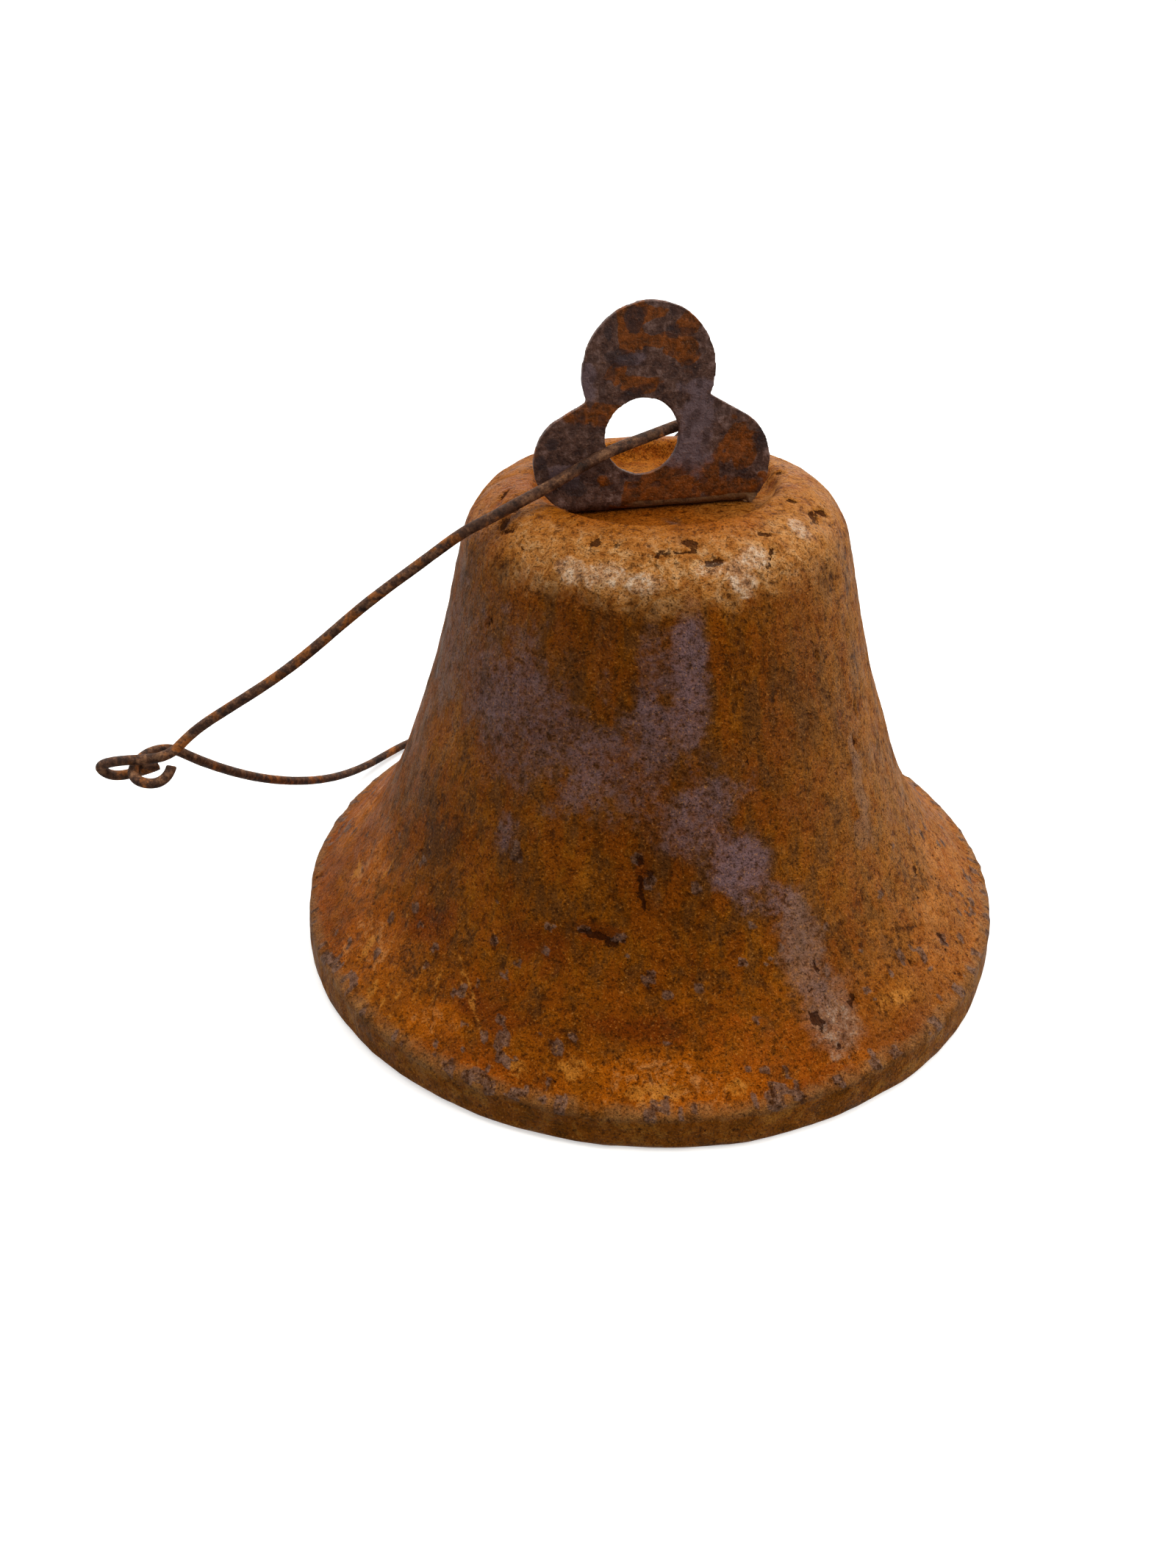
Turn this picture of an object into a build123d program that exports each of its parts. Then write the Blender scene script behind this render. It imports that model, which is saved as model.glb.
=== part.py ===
# A rusted cast yard dinner bell: flared shell, bent trefoil hanger plate bolted through the
# crown, a ring-hung clapper inside and a long hand-bent hanging wire hooked to its own eye.
#
# Frame: millimetres, +Z up along the bell's axis.  The origin is the centre of the mouth, in
# the plane the rim stands on.  The hanger plate faces -Y and the wire lies down towards -X.
import math
import os

from build123d import *

os.makedirs("parts", exist_ok=True)

# ---------------------------------------------------------------- shell
mouth_r = 127.3          # radius the rim band would reach with a sharp bottom edge
rim_h = 13.2             # height of the rim band
rim_draft = 1.4          # how much the band leans in over its height
rim_round = 3.0          # soft rounding of the band's upper edge
lip_round = 2.5          # rounding of the outer bottom edge
lip_inner_r = 115.0      # inside radius of the lip
lip_inner_round = 1.5
wall = 4.6               # wall thickness above the lip
lip_extra = 1.0          # metal added to the wall where it meets the lip
flare_profile = [        # outside radius and height, from the cove up to the waist
    (120.4, 15.9),
    (101.1, 36.4),
    (90.3, 54.6),
    (83.2, 72.8),
    (76.5, 91.1),
    (70.7, 109.2),
    (65.7, 127.5),
]
flare_start_dir = (-1.0, 1.05)
shoulder_r = 21.2        # radius of the rounded shoulder
shoulder_centre = (40.3, 140.1)
shoulder_lean = 15.2     # degrees: the upper wall's outward normal above the horizontal
crown_floor_z = 156.0    # flat floor of the shallow dish in the crown
crown_flat_r = 34.5
inner_samples = 9        # stations used to carry the wall thickness down the inside
lip_station = 0.04       # how far up the flare the inside wall starts, as a share of its length
lip_start_dir = (-1.0, 1.3)

# ---------------------------------------------------------------- hanger plate
sheet = 2.2              # sheet thickness
plate_front_y = -13.5    # front face of the upright plate
plate_x = -6.2           # the plate was bolted on a little off centre
top_lobe = (0.0, 40.6, 19.8)       # x, height and radius, from the middle of the plate's base
left_lobe = (-19.5, 16.0, 15.0)
right_lobe = (20.6, 12.2, 17.8)
left_neck = (-17.2, 34.2)          # where each side lobe's sloping shoulder meets the top lobe
right_neck = (18.4, 33.8)
wire_hole = (-1.7, 22.6, 11.1)
foot_x = 4.0             # middle of the tab bent back under the plate
foot_w = 56.0            # width of the tab
foot_back_y = 10.0
foot_corner_r = 8.0
bend_inner_r = 1.5
bend_lap = 8.0           # height over which the bent tab runs up into the upright plate

# ---------------------------------------------------------------- hanger bolt, washer and nut
bolt_r = 3.0
bolt_hole_r = 3.3        # clearance holes in foot, crown and washer
head_r = 6.5
head_h = 3.2
washer_r = 9.0
washer_h = 1.6
nut_flats = 10.0
nut_h = 5.2
nut_bore_r = 3.05
seat_gap = 0.05          # working gap left between stacked or hooked pieces
blade_t = 4.0            # flattened lower end of the bolt, thickness along X
eye_blade_r = 5.5
eye_hole_r = 2.5
eye_z = 132.5
blade_top_z = 141.0
shoulder_h = 2.5         # taper where the round shank runs into the flat

# ---------------------------------------------------------------- clapper
link_wire_r = 1.5
link_bend_r = 6.0        # centreline radius of the link's round ends
link_straight = 8.0
link_top_z = 132.0       # centre of the wire where the link passes through the bolt's eye
rod_r = 3.0
rod_eye_wire_r = 1.75
rod_eye_r = 5.25         # centreline radius of the rod's closed eye
hook_gap = 0.1           # play between the link and the rod's eye
ball_r = 20.0
ball_z = 27.0
ball_bore_r = 3.05
collar_r = 5.0
collar_h = 3.0
peen_r = 4.5
peen_h = 2.4

# ---------------------------------------------------------------- hanging wire
wire_r = 1.72
wire_stretches = 16      # the long run is swept in this many end-to-end stretches
# Centreline of the one stiff wire, in the order it was bent.
eye_bends = [            # flat closed eye at the front end, folded back beside the leg
    (-166.5, 3, 76),
    (-176, 3.5, 73.5),
    (-182.5, 4, 74),
    (-184, 2.5, 77.5),
    (-178.5, 0, 80.8),
    (-169, -1.7, 81.4),
    (-161, 0, 81.8),
]
front_leg = [            # up over the shoulder, across the left lobe and into the plate's hole
    (-156.5, 2, 84.5),
    (-143, 1, 94),
    (-118.5, -2.5, 110),
    (-94, -5.5, 129.5),
    (-71.5, -10, 146.5),
    (-60.8, -12.8, 154.3),
    (-55, -15.4, 158),
    (-47, -16.8, 162.3),
    (-34, -16.9, 168.5),
    (-20.5, -16.2, 175),
    (-7.8, -12.4, 177.8),
]
rear_leg = [             # out behind the plate, down the back of the bell and round on the ground
    (7, -7, 180),
    (19.5, 3, 179),
    (26, 22, 174),
    (21, 60, 151),
    (12, 87, 110),
    (0, 118, 52),
    (-20, 137, 10),
    (-55, 134, 2.8),
    (-85, 120, 2.4),
    (-98.5, 106.5, 4),
    (-127.5, 61.5, 27),
    (-141, 36, 47),
    (-152, 15.5, 66.5),
]
hook_bends = [           # over the top of the eye, down through it and up again as an open hook
    (-158, 8, 76),
    (-161, 6.5, 79),
    (-168, 6, 79.5),
    (-173, 1.5, 77.8),
    (-173, -4, 76.5),
    (-169, -7, 75.5),
    (-160.8, -4.5, 79.5),
]

# ---------------------------------------------------------------- derived heights
ridge_r = shoulder_centre[0]
ridge_z = shoulder_centre[1] + shoulder_r
plate_back_y = plate_front_y + sheet
foot_top_z = crown_floor_z + sheet
crown_under_z = crown_floor_z - wall
washer_under_z = crown_under_z - washer_h
nut_under_z = washer_under_z - nut_h
link_bottom_z = link_top_z - link_straight - 2 * link_bend_r
rod_pivot_z = link_bottom_z + link_wire_r + rod_eye_wire_r + hook_gap
rod_eye_z = rod_pivot_z - rod_eye_r


def inward(curve, t, depth):
    """Point at parameter t of an outside profile curve, moved into the metal by depth."""
    along = curve % t
    spot = curve @ t
    return (spot.X - depth * along.Y, spot.Y + depth * along.X)


def touch(neck, lobe, side):
    """Where the straight line from a neck point touches its lobe; side is +1 for the right lobe."""
    x, h, r = lobe
    reach = math.dist(neck, (x, h))
    turn = math.atan2(neck[1] - h, neck[0] - x) - side * math.acos(r / reach)
    return (x + r * math.cos(turn), h + r * math.sin(turn))


# ================================================================ bell shell
with BuildPart() as bell_shell:
    with BuildSketch(Plane.XZ) as half_section:
        with BuildLine():
            shoulder = CenterArc(shoulder_centre, shoulder_r, shoulder_lean, 90 - shoulder_lean)
            flare = Spline(
                *flare_profile,
                shoulder @ 0,
                tangents=(flare_start_dir, shoulder % 0),
            )
            band_foot = (mouth_r, 0)
            band_head = (mouth_r - rim_draft, rim_h)
            Polyline((lip_inner_r, 0), band_foot, band_head, flare @ 0)
            dish = Spline(
                shoulder @ 1,
                (crown_flat_r, crown_floor_z),
                tangents=((-1, 0), (-1, 0)),
            )
            Polyline(dish @ 1, (bolt_hole_r, crown_floor_z), (bolt_hole_r, crown_under_z),
                     (crown_flat_r, crown_under_z))
            Spline(
                (crown_flat_r, crown_under_z),
                (ridge_r, ridge_z - wall),
                tangents=((1, 0), (1, 0)),
            )
            shoulder_under = CenterArc(
                shoulder_centre, shoulder_r - wall, shoulder_lean, 90 - shoulder_lean
            )
            stations = [i / inner_samples for i in range(1, inner_samples)]
            flare_under = Spline(
                inward(flare, lip_station, wall + lip_extra),
                *[inward(flare, t, wall) for t in stations],
                shoulder_under @ 0,
                tangents=(lip_start_dir, shoulder_under % 0),
            )
            Line(flare_under @ 0, (lip_inner_r, 0))
        make_face()
        fillet(half_section.vertices().sort_by_distance(band_head)[0], rim_round)
        fillet(half_section.vertices().sort_by_distance(band_foot)[0], lip_round)
        fillet(half_section.vertices().sort_by_distance((lip_inner_r, 0))[0], lip_inner_round)
    revolve(axis=Axis.Z)
bell_shell.part.label = "bell_shell"
export_step(bell_shell.part, "parts/bell_shell.step")

# ================================================================ hanger plate
with BuildPart() as hanger_plate:
    with BuildSketch(Plane.XZ.offset(-plate_back_y)):
        with Locations((plate_x, crown_floor_z)):
            for x, h, r in (top_lobe, left_lobe, right_lobe):
                with Locations((x, h)):
                    Circle(r)
            Polygon(
                (left_lobe[0], 0),
                (right_lobe[0], 0),
                touch(right_neck, right_lobe, 1),
                right_neck,
                left_neck,
                touch(left_neck, left_lobe, -1),
                align=None,
            )
            with Locations((wire_hole[0], wire_hole[1])):
                Circle(wire_hole[2], mode=Mode.SUBTRACT)
            with Locations((0, -mouth_r / 2)):
                Rectangle(mouth_r, mouth_r, mode=Mode.SUBTRACT)
            with Locations((foot_x, 0)):
                Rectangle(foot_w, bend_lap, mode=Mode.SUBTRACT)
    extrude(amount=sheet)
    # The tab at the base is bent straight back and lies flat on the floor of the crown.
    with BuildSketch(Plane.YZ.offset(plate_x + foot_x - foot_w / 2)) as tab_section:
        with BuildLine():
            Polyline(
                (plate_front_y, crown_floor_z + bend_lap),
                (plate_front_y, crown_floor_z),
                (foot_back_y, crown_floor_z),
                (foot_back_y, foot_top_z),
                (plate_back_y, foot_top_z),
                (plate_back_y, crown_floor_z + bend_lap),
                close=True,
            )
        make_face()
        outside_bend = (plate_front_y, crown_floor_z)
        inside_bend = (plate_back_y, foot_top_z)
        fillet(tab_section.vertices().sort_by_distance(inside_bend)[0], bend_inner_r)
        fillet(tab_section.vertices().sort_by_distance(outside_bend)[0], bend_inner_r + sheet)
    extrude(amount=foot_w)
    rear_corners = hanger_plate.edges().filter_by(Axis.Z).group_by(Axis.Y)[-1]
    fillet(rear_corners, foot_corner_r)
    with Locations((0, 0, crown_floor_z)):
        Cylinder(bolt_hole_r, 3 * sheet, mode=Mode.SUBTRACT)
hanger_plate.part.label = "hanger_plate"
export_step(hanger_plate.part, "parts/hanger_plate.step")

# ================================================================ hanger bolt
with BuildPart() as hanger_bolt:
    with BuildSketch(Plane.XZ):
        with BuildLine():
            head_edge = (head_r, foot_top_z + head_h / 4)
            head_crown = (0, foot_top_z + head_h)
            TangentArc(head_crown, head_edge, tangent=(1, 0))
            Polyline(
                head_edge,
                (head_r, foot_top_z),
                (bolt_r, foot_top_z),
                (bolt_r, blade_top_z),
                (0, blade_top_z - shoulder_h),
                head_crown,
            )
        make_face()
    revolve(axis=Axis.Z)
    with BuildSketch(Plane.YZ.offset(-blade_t / 2)):
        with Locations((0, eye_z)):
            Circle(eye_blade_r)
        with BuildLine():
            Polyline(
                (-eye_blade_r, eye_z),
                (eye_blade_r, eye_z),
                (eye_blade_r - shoulder_h, blade_top_z),
                (shoulder_h - eye_blade_r, blade_top_z),
                close=True,
            )
        make_face()
    extrude(amount=blade_t)
    with BuildSketch(Plane.YZ.offset(-blade_t)):
        with Locations((0, eye_z)):
            Circle(eye_hole_r)
    extrude(amount=2 * blade_t, mode=Mode.SUBTRACT)
hanger_bolt.part.label = "hanger_bolt"
export_step(hanger_bolt.part, "parts/hanger_bolt.step")

# ================================================================ crown washer and nut
with BuildPart() as crown_washer:
    with BuildSketch(Plane.XY.offset(washer_under_z)):
        Circle(washer_r)
        Circle(bolt_hole_r, mode=Mode.SUBTRACT)
    extrude(amount=washer_h)
crown_washer.part.label = "crown_washer"
export_step(crown_washer.part, "parts/crown_washer.step")

with BuildPart() as hanger_nut:
    with BuildSketch(Plane.XY.offset(nut_under_z)):
        RegularPolygon(nut_flats / 2, 6, major_radius=False)
        Circle(nut_bore_r, mode=Mode.SUBTRACT)
    extrude(amount=nut_h)
hanger_nut.part.label = "hanger_nut"
export_step(hanger_nut.part, "parts/hanger_nut.step")

# ================================================================ clapper link
with BuildPart() as clapper_link:
    with BuildLine(Plane.XZ) as link_path:
        top_c = (0, link_top_z - link_bend_r)
        bottom_c = (0, link_bottom_z + link_bend_r)
        link_left = Line((-link_bend_r, bottom_c[1]), (-link_bend_r, top_c[1]))
        CenterArc(top_c, link_bend_r, 180, -180)
        Line((link_bend_r, top_c[1]), (link_bend_r, bottom_c[1]))
        CenterArc(bottom_c, link_bend_r, 0, -180)
    with BuildSketch(Plane(origin=link_left @ 0, z_dir=link_left % 0)):
        Circle(link_wire_r)
    sweep(path=link_path.wire())
clapper_link.part.label = "clapper_link"
export_step(clapper_link.part, "parts/clapper_link.step")

# ================================================================ clapper rod
with BuildPart() as clapper_rod:
    with BuildSketch(Plane.XZ):
        with BuildLine():
            rod_top = rod_eye_z - rod_eye_r
            collar_low = ball_z + ball_r + seat_gap
            peen_top = ball_z - ball_r - seat_gap
            Polyline(
                (0, rod_top),
                (0, peen_top - peen_h),
                (peen_r - peen_h / 2, peen_top - peen_h),
                (peen_r, peen_top - peen_h / 2),
                (peen_r, peen_top),
                (rod_r, peen_top),
                (rod_r, collar_low),
                (collar_r, collar_low),
                (collar_r, collar_low + collar_h / 2),
                (rod_r, collar_low + collar_h),
                (rod_r, rod_top - rod_r),
                (rod_eye_wire_r, rod_top),
                close=True,
            )
        make_face()
    revolve(axis=Axis.Z)
    with Locations(Location((0, 0, rod_eye_z), (0, 90, 0))):
        Torus(rod_eye_r, rod_eye_wire_r)
clapper_rod.part.label = "clapper_rod"
export_step(clapper_rod.part, "parts/clapper_rod.step")

# ================================================================ clapper ball
with BuildPart() as clapper_ball:
    with Locations((0, 0, ball_z)):
        Sphere(ball_r)
        Cylinder(ball_bore_r, 3 * ball_r, mode=Mode.SUBTRACT)
clapper_ball.part.label = "clapper_ball"
export_step(clapper_ball.part, "parts/clapper_ball.step")

# ================================================================ hanging wire
with BuildPart() as hanging_wire:
    with BuildLine() as centreline:
        Spline(*eye_bends, *front_leg, *rear_leg, *hook_bends)
    run = centreline.edge()
    for i in range(wire_stretches):
        stretch = run.trim(i / wire_stretches, (i + 1) / wire_stretches)
        with BuildSketch(Plane(origin=stretch @ 0, z_dir=stretch % 0)):
            Circle(wire_r)
        sweep(path=stretch)
hanging_wire.part.label = "hanging_wire"
export_step(hanging_wire.part, "parts/hanging_wire.step")
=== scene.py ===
import math

import bpy
import numpy as np
from mathutils import Matrix, Vector


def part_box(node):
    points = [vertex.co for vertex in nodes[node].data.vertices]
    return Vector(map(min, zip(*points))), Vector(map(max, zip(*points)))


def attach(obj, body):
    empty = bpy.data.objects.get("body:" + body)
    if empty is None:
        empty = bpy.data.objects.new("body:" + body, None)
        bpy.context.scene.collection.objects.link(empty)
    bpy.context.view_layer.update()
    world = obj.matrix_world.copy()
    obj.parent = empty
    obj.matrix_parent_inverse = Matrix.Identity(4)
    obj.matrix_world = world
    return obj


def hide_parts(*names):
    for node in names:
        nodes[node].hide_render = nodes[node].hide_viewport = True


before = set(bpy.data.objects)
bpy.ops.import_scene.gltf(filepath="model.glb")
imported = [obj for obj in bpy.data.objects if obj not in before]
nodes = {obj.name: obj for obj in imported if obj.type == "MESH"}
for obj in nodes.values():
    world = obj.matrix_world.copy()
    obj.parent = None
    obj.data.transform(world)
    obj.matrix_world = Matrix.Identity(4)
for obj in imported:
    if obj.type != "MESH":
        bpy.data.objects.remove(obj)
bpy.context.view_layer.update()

MM = 0.001


# ------------------------------------------------------------------ seeded lattice noise
def lattice(ix, iy, iz, seed):
    h = (ix * 374761393 + iy * 668265263 + iz * 1103515245 + seed * 362437) & 0xFFFFFFFF
    h = ((h ^ (h >> 13)) * 1274126177) & 0xFFFFFFFF
    return ((h ^ (h >> 16)) & 0xFFFF) / 65535.0


def noise(p, cell, seed):
    """Smooth value noise from -1 to 1 at points p (mm), with lumps about one cell wide."""
    q = p / cell
    base = np.floor(q).astype(np.int64)
    f = q - base
    f = f * f * f * (f * (f * 6 - 15) + 10)
    total = np.zeros(len(p))
    for dx in (0, 1):
        wx = f[:, 0] if dx else 1 - f[:, 0]
        for dy in (0, 1):
            wy = f[:, 1] if dy else 1 - f[:, 1]
            for dz in (0, 1):
                wz = f[:, 2] if dz else 1 - f[:, 2]
                corner = lattice(base[:, 0] + dx, base[:, 1] + dy, base[:, 2] + dz, seed)
                total += wx * wy * wz * corner
    return 2 * total - 1


def crust(p, cell, seed, octaves=3):
    """Layered noise, each layer half the size and a little over half the height."""
    total = np.zeros(len(p))
    height = 1.0
    for i in range(octaves):
        total += height * noise(p, cell / 2**i, seed + 17 * i)
        height *= 0.55
    return total


def step(lo, hi, x):
    t = np.clip((x - lo) / (hi - lo), 0, 1)
    return t * t * (3 - 2 * t)


# ------------------------------------------------------------------ shell mesh
def half_section(node):
    """The turned node's section as an ordered loop of (radius, height) in mm, from the bolt hole's
    top edge outwards over the shell, under the lip and back up the inside."""
    mesh = nodes[node].data
    co = np.array([v.co for v in mesh.vertices]) / MM
    key = np.round(co, 3)
    on_seam = (np.abs(co[:, 1]) < 1e-3) & (co[:, 0] > 0)
    near = {}
    for e in mesh.edges:
        a, b = e.vertices
        if on_seam[a] and on_seam[b]:
            ka, kb = tuple(key[a][[0, 2]]), tuple(key[b][[0, 2]])
            if ka != kb:
                near.setdefault(ka, set()).add(kb)
                near.setdefault(kb, set()).add(ka)
    inner_r = min(k[0] for k in near)
    start = max((k for k in near if k[0] < inner_r + 0.01), key=lambda k: k[1])
    nxt = max(near[start], key=lambda k: k[0])
    loop = [start, nxt]
    while True:
        ahead = [k for k in near[loop[-1]] if k != loop[-2]]
        if not ahead or ahead[0] == start:
            break
        loop.append(ahead[0])
    return np.array(loop, float)


SECTION_SAMPLES = 6000
INSIDE_SPACING = 4.2             # mm between rows up the inside wall, which is seen less
INSIDE_FROM = 4                  # mm above the ground: below this the inside rows stay close


def rows_along(loop, spacing):
    """Points along the loop, spaced by spacing(radius, height), and which lie on the inside."""
    seg = np.hypot(*np.diff(loop, axis=0).T)
    s = np.r_[0, np.cumsum(seg)]
    fine = np.linspace(0, s[-1], SECTION_SAMPLES)
    r = np.interp(fine, s, loop[:, 0])
    z = np.interp(fine, s, loop[:, 1])
    outermost_low = np.argmin(loop[:, 1] * 10 + np.abs(loop[:, 0] - loop[:, 0].max()))
    under = fine > s[outermost_low]
    density = 1 / np.where(under & (z > INSIDE_FROM), INSIDE_SPACING, spacing(r, z))
    count = np.r_[0, np.cumsum((density[1:] + density[:-1]) / 2 * np.diff(fine))]
    picks = np.linspace(0, count[-1], int(count[-1]) + 1)
    at = np.interp(picks, count, fine)
    out = np.c_[np.interp(at, s, loop[:, 0]), np.interp(at, s, loop[:, 1])]
    return out, np.interp(at, fine, under.astype(float)) > 0.5


COLUMNS = 384                    # points round the shell
RIM_TOP = 20                     # mm: the rim band and the foot of the flare end here
SHOULDER_FOOT = 135              # mm: the rounded shoulder starts here


def outer_spacing(r, z):
    """Millimetres between rows: closest on the rim, close on the shoulder and crown."""
    return np.where(z < RIM_TOP, 0.85, np.where(z > SHOULDER_FOOT, 1.15, 1.5))


loop = half_section("bell_shell")
profile, under = rows_along(loop, outer_spacing)
rows = len(profile)
along = np.gradient(profile, axis=0)
along /= np.linalg.norm(along, axis=1, keepdims=True)
# The loop runs outwards over the top, so the outward normal is to the left of its direction.
normal_rz = np.c_[-along[:, 1], along[:, 0]]
turn = np.linspace(0, 2 * math.pi, COLUMNS, endpoint=False)
R, T = np.meshgrid(profile[:, 0], turn, indexing="ij")
Z = np.repeat(profile[:, 1][:, None], COLUMNS, 1)
P = np.stack([R * np.cos(T), R * np.sin(T), Z], -1).reshape(-1, 3)
N = np.stack(
    [normal_rz[:, 0][:, None] * np.cos(T), normal_rz[:, 0][:, None] * np.sin(T),
     np.repeat(normal_rz[:, 1][:, None], COLUMNS, 1)], -1,
).reshape(-1, 3)
r, z = R.ravel(), Z.ravel()
VIEWED_SIDE = -15.0                                  # degrees from -Y towards +X
phi = np.degrees(np.arctan2(P[:, 0], -P[:, 1])) - VIEWED_SIDE
phi = (phi + 180) % 360 - 180                        # 0 faces the viewer, + to the right
LIP_INSIDE_R = 112
outside = ~np.repeat(under, COLUMNS) & ~((r < LIP_INSIDE_R) & (z < 1))


FAR_AWAY = 9.0                   # distance given to points where a spot cannot reach
CROWN_FROM = 146                 # mm: spots on the crown stay above this


def turned_from(at_phi):
    """Angle round the bell from at_phi, in radians, from -pi to pi."""
    return np.radians((phi - at_phi + 180) % 360 - 180)


def oval(u, v, half_w, half_h, lean):
    """Distance from the middle of a leaning oval, 1 at its edge."""
    c, s = math.cos(math.radians(lean)), math.sin(math.radians(lean))
    return np.hypot((u * c + v * s) / half_w, (v * c - u * s) / half_h)


def spot(at_phi, at_z, half_w, half_h, lean=0.0):
    """Distance from a place on the outside wall, given by its angle and height."""
    reach = oval(turned_from(at_phi) * r, z - at_z, half_w, half_h, lean)
    return np.where(outside, reach, FAR_AWAY)


def on_top(at_phi, at_r, half_w, half_h, lean=0.0):
    """The same for a place on the crown, given by its angle and its distance from the axis."""
    reach = oval(turned_from(at_phi) * at_r, r - at_r, half_w, half_h, lean)
    return np.where(outside & (z > CROWN_FROM), reach, FAR_AWAY)


def stamped(places, far, near, tearing, distance=spot):
    """The strongest of the places at each point: full inside near, gone beyond far."""
    mask = np.zeros(len(P))
    for place in places:
        mask = np.maximum(mask, step(far, near, distance(*place) + tearing))
    return mask


ragged = crust(P, 6.0, 11)       # tears the edges of broad patches
fine = crust(P, 2.4, 12)         # tears the edges of small marks
rng = np.random.default_rng(41)

# Places on the wall are: angle, height, half width, half height and, where given, lean.
# Places on the crown are: angle, distance from the axis, half width and half height.

# Thin purple-grey film; the last number is its strength.
VEIL_PATCHES = [
    (-50, 118, 34, 26, 0, 0.66), (-28, 106, 28, 24, 20, 0.70), (-4, 99, 24, 16, 35, 0.72),
    (9.5, 130, 6, 26, 0, 1.0), (0, 130, 5.5, 20, 0, 0.72), (-12, 134, 4.5, 14, 0, 0.50),
    (12, 86, 18, 11, 45, 0.85), (20, 70, 11, 10, 50, 1.05), (25, 58, 8, 7, 0, 0.75),
    (30, 46, 10, 16, 0, 0.72), (32, 27, 12, 9, 0, 0.62), (66, 70, 10, 26, 0, 0.55),
    (-31, 73, 5, 7, 0, 0.80), (40, 100, 26, 40, 0, 0.42), (-74, 95, 14, 50, 0, 0.45),
    (2, 64, 3, 5, 0, 0.60), (-20, 60, 14, 8, 0, 0.30), (2, 112, 8, 10, 0, 0.60),
    (56, 80, 4.5, 22, -5, 0.75),
    (150, 90, 24, 36, 10, 0.60), (-140, 100, 28, 30, 0, 0.60), (-120, 45, 18, 16, 0, 0.66),
    (110, 60, 14, 26, 0, 0.55), (180, 40, 16, 14, 0, 0.60), (95, 120, 9, 20, 0, 0.66),
]
veil = np.zeros(len(P))
for *place, strength in VEIL_PATCHES:
    near_patch = step(1.5, 0.45, spot(*place) + 0.22 * ragged)
    veil = veil + strength * (1 - veil) * near_patch

# Raised scabs: many strewn over the lower flare, and a few larger ones.
STREWN_FLAKES = 330
FLAKE_BAND = (13, 42)            # mm: lowest height of a strewn flake, and the span above it
LARGER_FLAKES = [
    (-28, 71, 3, 4), (-32, 76, 2, 2), (1, 42, 2.2, 2.2), (-13, 24, 2.5, 2), (-2, 75, 2, 1.4),
    (1, 68, 2, 2.6), (-11, 53, 2.6, 1.1), (-5, 51.5, 3.0, 1.3), (10, 66, 2, 2.6),
    (-28, 14, 2.4, 1.2),
]
flake = np.zeros(len(P))
lift = np.zeros(len(P))
for i in range(STREWN_FLAKES):
    at_phi = rng.uniform(-180, 180)
    at_z = FLAKE_BAND[0] + FLAKE_BAND[1] * rng.random() ** 2.2
    size = rng.uniform(0.9, 2.1)
    reach = spot(at_phi, at_z, size, size * rng.uniform(0.6, 1.1), rng.uniform(-40, 40))
    scale = step(1.25, 0.75, reach + 0.3 * fine)
    flake = np.maximum(flake, scale)
    lift = np.maximum(lift, scale * rng.uniform(0.15, 0.45))
larger = stamped(LARGER_FLAKES, 1.25, 0.75, 0.3 * fine)
flake = np.maximum(flake, larger)
lift = np.maximum(lift, 0.3 * larger)

# Deep little pits and torn flakes: some strewn round the sides and back, the rest placed.
STREWN_PITS = 46
WALL_PITS = [
    (-1, 74, 1.1, 1.6), (-1, 67, 0.8, 3.0, -8), (1, 70, 1.8, 0.7, 20), (0, 61, 0.5, 2.0, 10),
    (-9, 52, 6, 0.9, -6), (-5, 50.5, 3.0, 0.8, 12),
    (29, 26, 1.5, 2.4, 20), (36, 27, 1.8, 0.8, 30), (31, 19.5, 1.6, 0.7, 20),
    (32, 38, 0.5, 1.6), (61, 101, 0.5, 2.4), (57, 92, 0.6, 2.2), (62, 24, 0.9, 2.0, -20),
    (68, 40, 0.8, 2.0, -20),
]
CROWN_PITS = [
    (-92, 56, 1.2, 1.4), (-75, 48, 2.2, 0.8), (-60, 49, 1.6, 1.0), (-57, 53, 1.4, 1.4),
    (-52, 54, 2.0, 0.7), (-19, 50, 1.5, 1.2), (-12, 50, 1.2, 0.8), (8, 37, 1.2, 0.6),
    (12, 49, 2.0, 1.3), (7, 52, 6.0, 0.5), (18, 55, 4.0, 0.5), (39, 50, 2.0, 0.7),
    (66, 44, 1.4, 1.0), (64, 52, 2.4, 1.0), (70, 53, 1.0, 2.0), (36, 56, 2.6, 0.6),
    (-30, 44, 0.8, 0.7), (100, 40, 1.6, 1.0), (125, 48, 2.4, 0.9), (160, 45, 1.4, 1.2),
    (-150, 50, 2.4, 1.0), (-120, 38, 1.2, 1.0),
]
strewn_pits = [
    (rng.uniform(45, 315), rng.uniform(8, 140), rng.uniform(0.4, 0.8), rng.uniform(0.6, 2.2),
     rng.uniform(-25, 10))
    for i in range(STREWN_PITS)
]
turned_crown_pits = [(*place, rng.uniform(-40, 40)) for place in CROWN_PITS]
pit = stamped(strewn_pits, 1.2, 0.6, 0.45 * fine)
pit = np.maximum(pit, stamped(WALL_PITS, 1.8, 0.5, 0.4 * fine))
pit = np.maximum(pit, stamped(turned_crown_pits, 1.9, 0.5, 0.5 * fine, on_top))

# Pocked wall: on the right flank and, more lightly, round both sides and the back.
right_flank = step(40, 75, phi) * step(165, 110, phi)
pocked = 0.7 * right_flank * step(150, 130, z) + 0.5 * step(60, 100, np.abs(phi))
pocked = np.clip(pocked, 0, 1) * outside

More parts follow.
